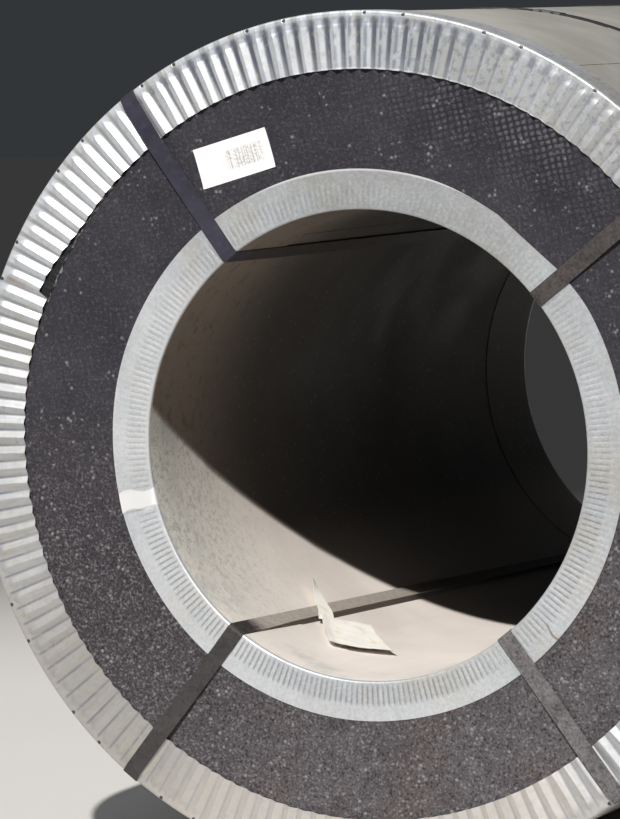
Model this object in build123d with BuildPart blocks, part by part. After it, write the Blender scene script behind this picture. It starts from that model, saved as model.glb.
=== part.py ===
from build123d import *

import math
import os

os.makedirs("parts", exist_ok=True)

# A packaged steel coil lying with its axis level, all lengths in millimetres and angles in degrees.
# The axis is +Y, the photographed end is at -Y, +Z is up, and the origin is the middle of the bore.
# Angles go round the axis from +X towards +Z, as the photographed end shows them.

# Steel roll, wound tight
strip_width = 1150
roll_bore_radius = 254
roll_radius = 460

# Sheets round the roll and in its bore
layer_gap = 0.3
wrap_sheet = 0.6
wrap_seam_angle = 65
wrap_seam_lap = 90
liner_sheet = 0.6
sheet_end_inset = 5

# Plastic discs on the ends
disc_thickness = 2

# Edge rings, bent from galvanised strip
ring_sheet = 0.8
ring_bend = 3
outer_ring_face_width = 61.5
outer_ring_rim_width = 50
inner_ring_face_width = 43
inner_ring_bore_width = 140

# Pleats that gather the face of the outer ring
pleat_count = 154
pleat_height = 4.5
smooth_lip_width = 5
lip_overlap = 1

# Lap of the outer ring, where the upper end of its strip runs outwards
lap_end_angle = 156.3
lap_run_angle = 14.3
lap_edge_step = 11

# Straps and their crimped seals
strap_width = 19
strap_sheet = 0.8
strap_gap = 0.15
strap_corner_radius = 3
eye_strap_angles = (37.7, 125.4, 231.7, 307.3)
hoop_strap_distance = 190
seal_length = 32
seal_sheet = 0.5
seal_gap = 0.1
seal_nick_depth = 2.5
seal_nick_width = 4
seal_nick_spacing = 14
eye_seal_distance = 60
hoop_seal_angle = 80

# Paper label on the photographed end, sized and placed by the open disc between the two rings
label_height_share = 0.415
label_rise_share = 0.413
label_proportion = 2
label_thickness = 0.3
label_angle = 114.3
label_tilt = 15.1

# Radii that follow, from the bore outwards
liner_radius = roll_bore_radius - layer_gap - liner_sheet
bore_radius = liner_radius - layer_gap - ring_sheet
inner_ring_edge_radius = bore_radius + inner_ring_face_width
wrap_radius = roll_radius + layer_gap + wrap_sheet
wrap_seam_radius = wrap_radius + wrap_sheet
rim_radius = wrap_seam_radius + layer_gap + ring_sheet
outer_ring_edge_radius = rim_radius - outer_ring_face_width
pleat_start_radius = rim_radius - smooth_lip_width
open_disc_width = outer_ring_edge_radius - inner_ring_edge_radius

# Distances from mid width that follow
roll_end = strip_width / 2
sheet_end = roll_end - sheet_end_inset
disc_face = roll_end + disc_thickness
flange_face = disc_face + ring_sheet

# The strap legs that run through the bore and over the rim
bore_leg_radius = math.sqrt(bore_radius**2 - (strap_width / 2) ** 2) - strap_gap
rim_leg_radius = rim_radius + strap_gap


def radial_plane(angle, radius=0, place=0):
    """The plane through the axis at an angle, with x outwards and y along the axis.

    Its origin is at a radius and a place along the axis."""
    turn = math.radians(angle)
    outwards = (math.cos(turn), 0, math.sin(turn))
    sideways = (-math.sin(turn), 0, math.cos(turn))
    origin = (radius * outwards[0], place, radius * outwards[2])
    return Plane(origin=origin, x_dir=outwards, z_dir=sideways)


def turned_ring(inner_radius, outer_radius, start, end):
    """A plain ring round the axis, between two radii and two places along it."""
    with BuildPart() as ring:
        with BuildSketch(Plane.XY):
            with Locations((inner_radius, start)):
                Rectangle(outer_radius - inner_radius, end - start, align=(Align.MIN, Align.MIN))
        revolve(axis=Axis.Y)
    return ring.part


def edge_ring(face_edge_radius, tube_radius, tube_width):
    """An edge ring at the near end: a flat face on the disc and a tube along the roll.

    Its sheet lies on the side of the roll, and its bend is drawn as one flat."""
    towards_face = math.copysign(ring_bend, face_edge_radius - tube_radius)
    roll_side = Side.LEFT if tube_radius < face_edge_radius else Side.RIGHT
    with BuildPart() as ring:
        with BuildSketch(Plane.XY):
            with BuildLine():
                Polyline(
                    (tube_radius, -flange_face + tube_width),
                    (tube_radius, -flange_face + ring_bend),
                    (tube_radius + towards_face, -flange_face),
                    (face_edge_radius, -flange_face),
                )
                offset(amount=ring_sheet, side=roll_side, kind=Kind.INTERSECTION)
            make_face()
        revolve(axis=Axis.Y)
    return ring.part


def point_on_end(radius, angle):
    """A point on an end of the coil, in the plane of that end."""
    turn = math.radians(angle)
    return (radius * math.cos(turn), radius * math.sin(turn))


def seal_section(section_plane):
    """Section of a sheet sleeve round a strap, with x outwards and y across the strap."""
    cavity_height = strap_sheet + 2 * seal_gap
    cavity_width = strap_width + 2 * seal_gap
    with BuildSketch(section_plane) as section:
        Rectangle(cavity_height + 2 * seal_sheet, cavity_width + 2 * seal_sheet)
        Rectangle(cavity_height, cavity_width, mode=Mode.SUBTRACT)
    return section.sketch


def seal_nicks(nick_plane):
    """Two crimping nicks on each edge of a seal, with x along the strap and z outwards."""
    sleeve_width = strap_width + 2 * seal_gap + 2 * seal_sheet
    with BuildPart() as nicks:
        with BuildSketch(nick_plane):
            with GridLocations(seal_nick_spacing, sleeve_width, 2, 2):
                Rectangle(seal_nick_width, 2 * seal_nick_depth)
        extrude(amount=strap_sheet + 2 * seal_sheet, both=True)
    return nicks.part


# Steel roll: one turned solid with its bore
with BuildPart() as steel_roll:
    add(turned_ring(roll_bore_radius, roll_radius, -roll_end, roll_end))
steel_roll.part.label = "steel_roll"
export_step(steel_roll.part, "parts/steel_roll.step")

# Outer wrap: a thin sheet round the roll, with its end lapped over its start
with BuildPart() as outer_wrap:
    add(turned_ring(wrap_radius - wrap_sheet, wrap_radius, -sheet_end, sheet_end))
    seam_turn = math.degrees(wrap_seam_lap / wrap_radius)
    with BuildSketch(radial_plane(wrap_seam_angle - seam_turn / 2)):
        with Locations((wrap_radius - wrap_sheet / 2, 0)):
            Rectangle(1.5 * wrap_sheet, 2 * sheet_end, align=(Align.MIN, Align.CENTER))
    revolve(axis=Axis.Y, revolution_arc=-seam_turn)
outer_wrap.part.label = "outer_wrap"
export_step(outer_wrap.part, "parts/outer_wrap.step")

# Bore liner: a thin sheet inside the roll
with BuildPart() as bore_liner:
    add(turned_ring(liner_radius, liner_radius + liner_sheet, -sheet_end, sheet_end))
bore_liner.part.label = "bore_liner"
export_step(bore_liner.part, "parts/bore_liner.step")

# End discs: flat plastic rings that stop short of the bends of the edge rings
disc_inner_radius = bore_radius + ring_sheet + ring_bend
disc_outer_radius = rim_radius - ring_sheet - ring_bend
with BuildPart() as end_disc_near:
    add(turned_ring(disc_inner_radius, disc_outer_radius, -disc_face, -roll_end))
end_disc_near.part.label = "end_disc_near"
export_step(end_disc_near.part, "parts/end_disc_near.step")

with BuildPart() as end_disc_far:
    mirror(end_disc_near.part, about=Plane.XZ)
end_disc_far.part.label = "end_disc_far"
export_step(end_disc_far.part, "parts/end_disc_far.step")

# Inner ring: an angle bent round the edge of the bore
with BuildPart() as inner_ring_near:
    add(edge_ring(inner_ring_edge_radius, bore_radius, inner_ring_bore_width))
inner_ring_near.part.label = "inner_ring_near"
export_step(inner_ring_near.part, "parts/inner_ring_near.step")

with BuildPart() as inner_ring_far:
    mirror(inner_ring_near.part, about=Plane.XZ)
inner_ring_far.part.label = "inner_ring_far"
export_step(inner_ring_far.part, "parts/inner_ring_far.step")

# One pleat of the outer ring: a hollow fold that fills its wedge of the face at the inner edge
# and runs down to a point at the smooth lip
half_pitch_turn = math.pi / pleat_count
wedge_end_radius = pleat_start_radius + lip_overlap
edge_half_pitch = outer_ring_edge_radius * math.tan(half_pitch_turn)
end_half_pitch = wedge_end_radius * math.tan(half_pitch_turn)
pleat_length = pleat_start_radius - outer_ring_edge_radius
pleat_slope = pleat_height / edge_half_pitch
fold_front = [
    (-edge_half_pitch, -pleat_height),
    (-edge_half_pitch, ring_sheet),
    (0, ring_sheet + pleat_height),
    (edge_half_pitch, ring_sheet),
    (edge_half_pitch, -pleat_height),
]
hollow_crest = ring_sheet + pleat_height - ring_sheet * math.hypot(1, pleat_slope)
hollow_foot = (hollow_crest + pleat_height) / pleat_slope
fold_hollow = [(-hollow_foot, -pleat_height), (0, hollow_crest), (hollow_foot, -pleat_height)]
with BuildPart() as pleat:
    with BuildSketch(Plane.XY):
        with BuildLine():
            Polyline(
                (outer_ring_edge_radius, -edge_half_pitch),
                (wedge_end_radius, -end_half_pitch),
                (wedge_end_radius, end_half_pitch),
                (outer_ring_edge_radius, edge_half_pitch),
                close=True,
            )
        make_face()
    extrude(amount=ring_sheet)
    fold_direction = (pleat_length, 0, -pleat_height)
    fold_run = math.hypot(pleat_length, pleat_height) * (1 + lip_overlap / 2 / pleat_length)
    for fold_section, fold_mode in ((fold_front, Mode.ADD), (fold_hollow, Mode.SUBTRACT)):
        with BuildSketch(Plane.YZ.offset(outer_ring_edge_radius)):
            with BuildLine():
                Polyline(*fold_section, close=True)
            make_face()
        extrude(amount=fold_run, dir=fold_direction, mode=fold_mode)
    split(bisect_by=Plane.XY, keep=Keep.TOP)

# Outer ring: an angle bent round the rim, with its face gathered in pleats
with BuildPart() as outer_ring_near:
    add(edge_ring(wedge_end_radius - lip_overlap / 2, rim_radius, outer_ring_rim_width))
    with Locations(Plane.XZ.offset(disc_face)):
        with PolarLocations(0, pleat_count):
            add(pleat.part)
    # The upper end of the strip has its edge further out, and ends in a step
    lap_start_angle = lap_end_angle - lap_run_angle
    lap_start = point_on_end(outer_ring_edge_radius, lap_start_angle)
    lap_middle = point_on_end(
        outer_ring_edge_radius + lap_edge_step / 3, lap_end_angle - lap_run_angle / 2
    )
    lap_tip = point_on_end(outer_ring_edge_radius + lap_edge_step, lap_end_angle)
    lap_foot = point_on_end(outer_ring_edge_radius - lap_edge_step, lap_end_angle)
    with BuildSketch(Plane.XZ.offset(roll_end)):
        with BuildLine():
            ThreePointArc(lap_start, lap_middle, lap_tip)
            Polyline(lap_tip, lap_foot, lap_start)
        make_face()
    extrude(amount=disc_thickness + ring_sheet + 2 * pleat_height, mode=Mode.SUBTRACT)
outer_ring_near.part.label = "outer_ring_near"
export_step(outer_ring_near.part, "parts/outer_ring_near.step")

with BuildPart() as outer_ring_far:
    mirror(outer_ring_near.part, about=Plane.XZ)
outer_ring_far.part.label = "outer_ring_far"
export_step(outer_ring_far.part, "parts/outer_ring_far.step")

# Eye straps: steel bands pulled tight through the bore and over both ends
over_one_end = [
    (rim_leg_radius, flange_face + strap_gap),
    (pleat_start_radius, flange_face + strap_gap),
    (outer_ring_edge_radius, flange_face + pleat_height + strap_gap),
    (inner_ring_edge_radius, flange_face + strap_gap),
    (bore_leg_radius, flange_face + strap_gap),
]
strap_outline = over_one_end + [(radius, -place) for radius, place in reversed(over_one_end)]
for strap_number, strap_angle in enumerate(eye_strap_angles, start=1):
    with BuildPart() as eye_strap:
        with BuildSketch(radial_plane(strap_angle)) as strap_loop:
            with BuildLine():
                Polyline(*strap_outline, close=True)
            make_face()
            corners_by_radius = strap_loop.vertices().group_by(Axis.X)
            fillet(corners_by_radius[0] + corners_by_radius[-1], radius=strap_corner_radius)
            offset(amount=strap_sheet, kind=Kind.INTERSECTION)
            offset(amount=-strap_sheet, kind=Kind.INTERSECTION, mode=Mode.SUBTRACT)
        extrude(amount=strap_width / 2, both=True)
    eye_strap.part.label = f"eye_strap_{strap_number}"
    export_step(eye_strap.part, f"parts/eye_strap_{strap_number}.step")

    seal_place = radial_plane(strap_angle, rim_leg_radius + strap_sheet / 2, eye_seal_distance)
    with BuildPart() as eye_seal:
        section_plane = Plane(seal_place.origin, x_dir=seal_place.x_dir, z_dir=seal_place.y_dir)
        extrude(seal_section(section_plane), amount=seal_length / 2, both=True)
        nick_plane = Plane(seal_place.origin, x_dir=seal_place.y_dir, z_dir=seal_place.x_dir)
        add(seal_nicks(nick_plane), mode=Mode.SUBTRACT)
    eye_seal.part.label = f"eye_seal_{strap_number}"
    export_step(eye_seal.part, f"parts/eye_seal_{strap_number}.step")

# Hoop straps: two bands round the wrap, under the eye straps
hoop_radius = wrap_seam_radius + strap_gap
for hoop_number, hoop_place in enumerate((-hoop_strap_distance, hoop_strap_distance), start=1):
    with BuildPart() as hoop_strap:
        hoop_start = hoop_place - strap_width / 2
        add(turned_ring(hoop_radius, hoop_radius + strap_sheet, hoop_start, hoop_start + strap_width))
    hoop_strap.part.label = f"hoop_strap_{hoop_number}"
    export_step(hoop_strap.part, f"parts/hoop_strap_{hoop_number}.step")

    hoop_middle_radius = hoop_radius + strap_sheet / 2
    seal_turn = math.degrees(seal_length / hoop_middle_radius)
    seal_start = radial_plane(hoop_seal_angle - seal_turn / 2, hoop_middle_radius, hoop_place)
    seal_place = radial_plane(hoop_seal_angle, hoop_middle_radius, hoop_place)
    with BuildPart() as hoop_seal:
        revolve(seal_section(seal_start), axis=Axis.Y, revolution_arc=-seal_turn)
        nick_plane = Plane(seal_place.origin, x_dir=seal_place.z_dir, z_dir=seal_place.x_dir)
        add(seal_nicks(nick_plane), mode=Mode.SUBTRACT)
    hoop_seal.part.label = f"hoop_seal_{hoop_number}"
    export_step(hoop_seal.part, f"parts/hoop_seal_{hoop_number}.step")

# Paper label stuck to the near disc
label_height = label_height_share * open_disc_width
label_radius = inner_ring_edge_radius + label_rise_share * open_disc_width
with BuildPart() as paper_label:
    with BuildSketch(Plane.XZ.offset(disc_face)):
        with Locations(Location(point_on_end(label_radius, label_angle), label_tilt)):
            Rectangle(label_proportion * label_height, label_height)
    extrude(amount=label_thickness)
paper_label.part.label = "paper_label"
export_step(paper_label.part, "parts/paper_label.step")
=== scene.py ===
"""Looks of a packaged steel coil, round its CAD frame. Metres, +Y along the axis, +Z up.

The photographed end faces -Y. Angles go round the axis from +X towards +Z."""

import math

import bpy
import numpy as np
from mathutils import Matrix, Vector


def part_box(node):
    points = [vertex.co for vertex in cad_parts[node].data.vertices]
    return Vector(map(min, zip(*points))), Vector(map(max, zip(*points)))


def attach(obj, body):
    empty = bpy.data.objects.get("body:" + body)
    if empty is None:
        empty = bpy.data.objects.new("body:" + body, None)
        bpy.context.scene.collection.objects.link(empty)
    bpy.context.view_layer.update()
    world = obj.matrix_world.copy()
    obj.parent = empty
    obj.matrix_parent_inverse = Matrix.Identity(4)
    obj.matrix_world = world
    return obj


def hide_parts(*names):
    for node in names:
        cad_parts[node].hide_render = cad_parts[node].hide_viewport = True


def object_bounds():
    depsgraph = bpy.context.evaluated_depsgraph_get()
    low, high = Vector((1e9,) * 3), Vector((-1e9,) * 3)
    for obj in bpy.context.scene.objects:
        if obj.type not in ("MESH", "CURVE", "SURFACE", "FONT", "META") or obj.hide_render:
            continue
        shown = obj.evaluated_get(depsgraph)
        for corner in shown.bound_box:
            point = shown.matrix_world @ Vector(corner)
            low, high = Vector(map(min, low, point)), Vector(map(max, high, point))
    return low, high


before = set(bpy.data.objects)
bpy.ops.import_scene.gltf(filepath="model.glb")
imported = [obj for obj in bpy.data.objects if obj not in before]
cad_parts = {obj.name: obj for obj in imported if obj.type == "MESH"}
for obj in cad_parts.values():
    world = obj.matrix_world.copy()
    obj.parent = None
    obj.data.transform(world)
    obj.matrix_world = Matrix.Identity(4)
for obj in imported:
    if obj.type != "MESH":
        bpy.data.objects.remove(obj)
cad_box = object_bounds()
chance = np.random.default_rng(28)
MM = 0.001

# Sizes that the frame gives
rim_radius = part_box("outer_ring_near")[1].x
outer_tube_end = -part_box("outer_ring_near")[1].y
disc_face = -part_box("end_disc_near")[0].y
flange_face = -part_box("inner_ring_near")[0].y
inner_edge_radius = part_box("inner_ring_near")[1].x
inner_tube_end = -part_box("inner_ring_near")[1].y
strap_top = -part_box("eye_strap_1")[0].y
ring_sheet = flange_face - disc_face

# Widths of the rings' faces, as the CAD has them, and the radii that follow
inner_ring_face = 43 * MM
outer_ring_face = 61.5 * MM
bore_radius = inner_edge_radius - inner_ring_face
outer_edge_radius = rim_radius - outer_ring_face

# Bends of the rings, and the smooth lip outside the pleats
inner_ring_bend = 2.5 * MM
outer_ring_bend = 3 * MM
smooth_lip = 4 * MM

# Gap between a disc and the rings and the label on it
disc_gap = 0.05 * MM

# Pleats of the outer rings and ribs of the inner ones
pleat_count = 154
pleat_height = 4.4 * MM
rib_count = 277
rib_height = 0.5 * MM

# Lap of the near outer ring: the strip's upper end, over what angle and how far its edge runs outwards
lap_end, lap_run, lap_step = 156.3, 14.3, 11 * MM

# Where the strip's lower end stops under that lap
lower_lap_end = 134.5

# Lap of the inner rings: its two sides, and how high it rises from the first to the second
patch_start, patch_end, patch_rise = 190.3, 194.6, 1.6 * MM

# Straight stretch in the inner rings' outline, and where the outline leaves the circle and is back on it
kink_leave, kink_start, kink_end, kink_return = 28, 39.0, 56.5, 76

# How far the ends of that stretch lie inside the circle
kink_depth = 2.8 * MM

# Punched dots on the outer rings' lip: pitch of the pairs, a start, the first dot from there, and the gap
dot_pitch, dot_start, dot_offset, dot_gap = 360 / 21, 77.5, 5.0, 5.5
dot_inset = 2.6 * MM

# The liner's seam and the rust drip on the inner rings
seam_start, seam_end = 119.4, 119.9
drip_start, drip_end = 316.5, 316.9

# How much deeper the edge of the painted shade in the bore lies for each metre of x and of z, along the key
# light's shadow
shadow_slope_x, shadow_slope_z = -0.304, -1.920

# Radius at which the coordinates round the axis have their true scale
pattern_radius = 0.36

# Straps: their angles at the near rim, at the near and the far edge of the bore, and at the seal
strap_width = 19 * MM
strap_sheet = 0.8 * MM
strap_gap = 0.15 * MM
strap_angles = {
    1: (37.6, 37.7, 37.9, 37.7),
    2: (124.8, 126.1, 130.0, 125.4),
    3: (231.4, 232.0, 245.0, 231.7),
    4: (307.0, 307.6, 306.0, 307.3),
}

# How far one edge of each strap stands up from the wall of the bore
strap_twist = {1: 0.0, 2: 1.0 * MM, 3: 3.8 * MM, 4: 0.5 * MM}

# Label, and the thickness of all paper
label_size = (88 * MM, 44 * MM)
label_tilt = 15.1
paper_sheet = 0.25 * MM

# Scrap of paper in the bore and its torn strip: angle in degrees and depth in millimetres of each corner
scrap_corners = ((236.2, 188), (246.8, 121), (259.6, 180), (245.2, 253))
strip_corners = ((225.2, 242), (237.2, 176), (239.2, 204), (225.9, 250))


def smooth_step(low, high, value):
    """0 below low, 1 above high, and a smooth rise between them."""
    share = np.clip((value - low) / (high - low), 0, 1)
    return share * share * (3 - 2 * share)


def bumps(angles, centre, half_width):
    """A soft hump over a stretch of angles, in degrees, 1 at its centre."""
    gap = np.abs((angles - centre + 180) % 360 - 180)
    return 1 - smooth_step(0, half_width, gap)


def add_object(name, data):
    """Puts a mesh, a light or a camera into the scene."""
    thing = bpy.data.objects.new(name, data)
    bpy.context.scene.collection.objects.link(thing)
    return thing


def add_lamp(name, kind, power, tint, direction):
    """Puts in a light that shines along a direction, and gives its data and its object."""
    data = bpy.data.lights.new(name, kind)
    data.energy, data.color = power, tint
    lamp = add_object(name, data)
    lamp.rotation_mode = "QUATERNION"
    lamp.rotation_quaternion = direction.to_track_quat("-Z", "Y")
    return data, lamp


def mesh_piece(name, points, faces):
    """A smooth mesh with sharp edges where its faces meet steeply."""
    mesh = bpy.data.meshes.new(name)
    mesh.from_pydata(points.tolist(), [], faces)
    mesh.polygons.foreach_set("use_smooth", np.ones(len(faces), bool))
    mesh.update()
    mesh.set_sharp_from_angle(angle=math.radians(65))
    return add_object(name, mesh)


def closed_grid(name, points):
    """A mesh over a grid of points that closes along its columns and along its rows."""
    columns, rows = points.shape[:2]
    column, row = np.meshgrid(np.arange(columns), np.arange(rows), indexing="ij")
    next_column, next_row = (column + 1) % columns, (row + 1) % rows
    corners = [(column, row), (next_column, row), (next_column, next_row), (column, next_row)]
    faces = np.stack([c * rows + r for c, r in corners], -1).reshape(-1, 4)
    return mesh_piece(name, points.reshape(-1, 3), faces.tolist())


def finish_piece(piece, material, slot, *nodes):
    """Gives a piece its material and its body, and hides the CAD nodes that it stands for. The slot is not
    used.
    """
    piece.data.materials.append(material)
    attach(piece, "root")
    if nodes:
        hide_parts(*nodes)


class Graph:
    """A material's nodes, with short calls for the ones that are used most."""

    def __init__(self, name, **constants):
        self.material = bpy.data.materials.new(name)
        self.material.use_nodes = True
        self.tree = self.material.node_tree
        self.tree.nodes.clear()
        self.shader = self.tree.nodes.new("ShaderNodeBsdfPrincipled")
        output = self.tree.nodes.new("ShaderNodeOutputMaterial")
        self.tree.links.new(self.shader.outputs["BSDF"], output.inputs["Surface"])
        self.set(**constants)
        self.place = self.tree.nodes.new("ShaderNodeTexCoord").outputs["Object"]
        self.x, self.y, self.z = self.node("ShaderNodeSeparateXYZ", {0: self.place}).outputs

    def node(self, kind, inputs, **settings):
        made = self.tree.nodes.new(kind)
        for key, value in settings.items():
            setattr(made, key, value)
        for key, value in inputs.items():
            self.feed(made.inputs[key], value)
        return made

    def feed(self, socket, value):
        if isinstance(value, bpy.types.NodeSocket):
            self.tree.links.new(value, socket)
        else:
            socket.default_value = value

    def set(self, **inputs):
        for key, value in inputs.items():
            self.feed(self.shader.inputs[key.replace("_", " ")], value)

    def math(self, operation, a, b=0.0):
        return self.node("ShaderNodeMath", {0: a, 1: b}, operation=operation).outputs[0]

    def times(self, product, *values):
        """Product of all the values."""
        for value in values:
            product = self.math("MULTIPLY", product, value)
        return product

    def plus(self, total, *values):
        """Sum of all the values."""
        for value in values:
            total = self.math("ADD", total, value)
        return total

    def minus(self, a, b):
        return self.math("SUBTRACT", a, b)

    def absolute(self, value):
        """A value without its sign."""
        return self.math("ABSOLUTE", value)

    def vector(self, x=0.0, y=0.0, z=0.0):
        return self.node("ShaderNodeCombineXYZ", {0: x, 1: y, 2: z}).outputs[0]

    def scaled(self, vector, factors):
        inputs = {0: vector, 1: factors}
        return self.node("ShaderNodeVectorMath", inputs, operation="MULTIPLY").outputs[0]

    def length(self, vector):
        made = self.node("ShaderNodeVectorMath", {0: vector}, operation="LENGTH")
        return made.outputs["Value"]

    def radius(self):
        """Distance from the axis."""
        return self.length(self.vector(self.x, 0.0, self.z))

    def polar(self, radius):
        """Coordinates without a seam round the axis: two across it and one along it."""
        scale = self.math("DIVIDE", pattern_radius, radius)
        along = self.plus(radius, self.y)
        return self.vector(self.times(self.x, scale), self.times(self.z, scale), along)

    def angle(self):
        """Angle round the axis, in degrees from 0 to 360."""
        turn = self.math("DEGREES", self.math("ARCTAN2", self.z, self.x))
        return self.math("FLOORED_MODULO", turn, 360.0)

    def fold(self, count):
        """1 in the valleys between the folds round the ring, and 0 on their crests."""
        number = self.math("FRACT", self.times(self.angle(), count / 360))
        return self.absolute(self.minus(self.times(number, 2.0), 1.0))

    def between(self, value, low, high, soft):
        """1 where a value lies between two limits, with soft ends."""
        rise = self.range(value, low - soft, low + soft)
        return self.times(rise, self.range(value, high + soft, high - soft))

    def noise(self, vector, scale, detail=3.0, roughness=0.5):
        inputs = {"Vector": vector, "Scale": scale, "Detail": detail, "Roughness": roughness}
        return self.node("ShaderNodeTexNoise", inputs).outputs["Fac"]

    def cells(self, scale, output="Distance"):
        inputs = {"Vector": self.place, "Scale": scale}
        return self.node("ShaderNodeTexVoronoi", inputs).outputs[output]

    def range(self, value, low, high, start=0.0, end=1.0):
        inputs = {0: value, 1: low, 2: high, 3: start, 4: end}
        return self.node("ShaderNodeMapRange", inputs, interpolation_type="SMOOTHSTEP").outputs[0]

    def mix(self, share, first, second):
        inputs = {0: share, 6: first, 7: second}
        return self.node("ShaderNodeMix", inputs, data_type="RGBA").outputs[2]

    def bump(self, height, distance, strength):
        inputs = {"Height": height, "Distance": distance, "Strength": strength}
        return self.node("ShaderNodeBump", inputs).outputs[0]


def colour(red, green, blue):
    return (red, green, blue, 1.0)


def galvanised(name, light, dark, streak_scale):
    """Zinc coated sheet: streaks across the ring, faint spangle, dull patches and soil.

    Gives its graph, radius, colour, roughness and relief, which the rings add to."""
    g = Graph(name, Metallic=0.45)
    radius = g.radius()
    streaks = g.noise(g.scaled(g.polar(radius), (streak_scale, streak_scale, 24.0)), 1.0, 4.0, 0.6)
    spangle = g.node("ShaderNodeSeparateColor", {0: g.cells(150.0, "Color")}).outputs[0]
    patches = g.noise(g.place, 9.0, 4.0, 0.6)
    grains = g.noise(g.place, 600.0, 3.0, 0.6)
    tone = g.plus(g.range(streaks, 0.3, 0.7, 0.0, 0.45), g.times(spangle, 0.2))
    tone = g.plus(tone, g.range(patches, 0.35, 0.7, 0.0, 0.3))
    base = g.mix(tone, dark, light)
    beige = g.times(g.range(g.noise(g.place, 14.0, 3.0, 0.5), 0.42, 0.68), 0.5)
    base = g.mix(beige, base, colour(0.47, 0.44, 0.37))
    dirt = g.range(g.noise(g.place, 70.0, 6.0, 0.7), 0.56, 0.72, 0.0, 0.35)
    base = g.mix(dirt, base, colour(0.27, 0.24, 0.2))
    rough = g.plus(g.range(patches, 0.3, 0.7, 0.38, 0.48), g.times(spangle, 0.05), g.times(dirt, 0.4))
    relief = g.plus(g.times(streaks, 0.6), g.times(grains, 0.2))
    return g, radius, base, rough, relief


def pleated_zinc():
    """Zinc of the outer rings: soil and painted shade between the pleats, painted highlights on crests and
    hem, rust at the lap, punched dots on the lip.
    """
    g, radius, base, rough, relief = galvanised(
        "outer_ring_zinc", colour(0.6, 0.61, 0.63), colour(0.42, 0.43, 0.45), 420.0
    )
    angle, distance = g.angle(), g.absolute(g.y)
    face = g.range(radius, rim_radius - 4 * MM, rim_radius - 9 * MM)
    face = g.times(face, g.range(distance, flange_face - 1.5 * MM, flange_face - 0.2 * MM))
    top = g.between(angle, 72.0, 118.0, 8.0)
    left = g.between(angle, 158.0, 232.0, 8.0)
    lower = g.between(angle, 198.0, 300.0, 14.0)
    corner = g.between(angle, 42.0, 84.0, 8.0)
    fold = g.plus(g.fold(pleat_count), g.times(top, 0.14))

    # Tones of the stretches round the ring, with painted highlights on the crests at the upper left
    base = g.mix(g.times(lower, 0.55), base, colour(0.4, 0.37, 0.34))
    pale = g.mix(0.55, base, colour(0.66, 0.62, 0.585))
    base = g.mix(g.between(angle, 238.0, 300.0, 7.0), base, pale)
    crests = g.times(g.between(angle, 86.0, 160.0, 5.0), g.range(fold, 0.86, 0.6))
    base = g.mix(g.times(crests, 0.62), base, colour(0.8, 0.845, 0.91))
    base = g.mix(g.times(g.between(angle, 58.0, 92.0, 6.0), 0.22), base, colour(0.74, 0.8, 0.89))

    # Painted shade on the heads of the pleats at the top, where the zinc is also duller, creases in their
    # crests darkened with soil and painted shade, and a painted highlight on the hem
    heads = g.between(radius, rim_radius - 14 * MM, rim_radius - 5 * MM, 2 * MM)
    heads = g.times(heads, g.between(angle, 62.0, 122.0, 8.0))
    base = g.mix(g.times(heads, 0.6), base, colour(0.25, 0.26, 0.29))
    rough = g.plus(rough, g.times(heads, 0.35))
    crease_shade_and_soil = g.times(g.range(fold, 0.46, 0.2), g.range(g.noise(g.place, 60.0), 0.38, 0.52), face)
    crease_shade_and_soil = g.times(crease_shade_and_soil, g.between(angle, 77.0, 93.0, 3.0))
    base = g.mix(g.times(crease_shade_and_soil, 0.65), base, colour(0.15, 0.19, 0.25))
    painted_hem_highlight = g.times(g.range(radius, outer_edge_radius + 2.2 * MM, outer_edge_radius + 1 * MM), face)
    painted_hem_highlight = g.times(painted_hem_highlight, g.between(angle, 56.0, 98.0, 6.0))
    base = g.mix(g.times(painted_hem_highlight, 0.7), base, colour(0.9, 0.92, 0.95))

    # Soil and painted shade in the valleys, darker towards the lip, and painted shade in the hollows
    # between the heads
    share = g.plus(g.times(top, 0.54), g.times(left, 0.22), 0.3)
    lipwards = g.range(radius, outer_edge_radius, outer_edge_radius + 30 * MM, 0.0, 0.4)
    soil = g.times(g.range(fold, 0.72, 0.97), share, g.plus(lipwards, 0.7))
    painted_shade_hollows = g.between(radius, rim_radius - 19 * MM, rim_radius - 8 * MM, 3 * MM)
    painted_shade_hollows = g.times(g.range(fold, 0.4, 0.8), painted_shade_hollows)
    painted_shade_hollows = g.times(painted_shade_hollows, g.range(g.between(angle, 60.0, 126.0, 8.0), 0.0, 1.0, 0.1, 0.62))
    base = g.mix(g.times(g.math("MAXIMUM", soil, painted_shade_hollows), face), base, colour(0.105, 0.12, 0.16))

    # Blots, yellowed zinc, and rust beside the lap
    blots = g.range(g.noise(g.place, 150.0, 4.0, 0.7), 0.5, 0.64)
    blots = g.times(blots, g.range(corner, 0.0, 1.0, 0.14, 0.5))
    base = g.mix(blots, base, colour(0.2, 0.23, 0.28))
    yellow = g.range(g.noise(g.place, 95.0, 3.0, 0.6), 0.54, 0.66, 0.0, 0.3)
    base = g.mix(yellow, base, colour(0.5, 0.48, 0.36))
    rust = g.times(g.between(angle, lap_end - 0.5, lap_end + 0.1, 0.3), face)
    rust = g.times(rust, g.range(radius, outer_edge_radius, rim_radius, 0.25, 0.75))
    base = g.mix(rust, base, colour(0.3, 0.19, 0.13))

    # Punched dots, on the ends only
    turn = g.minus(g.math("FLOORED_MODULO", g.minus(angle, dot_start), dot_pitch), dot_offset)
    turn = g.math("MINIMUM", g.absolute(turn), g.absolute(g.minus(turn, dot_gap)))
    off_centre = g.vector(g.times(turn, math.radians(rim_radius)), g.minus(radius, rim_radius - dot_inset))
    dots = g.range(g.length(off_centre), 2.5 * MM, 1.6 * MM)
    dots = g.times(dots, g.range(distance, 0.56, 0.565))
    base = g.mix(g.times(dots, 0.9), base, colour(0.03, 0.03, 0.04))
    relief = g.minus(relief, g.times(dots, 2.0))
    g.set(Base_Color=base, Roughness=rough, Normal=g.bump(relief, 0.35 * MM, 0.6))
    return g.material


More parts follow.
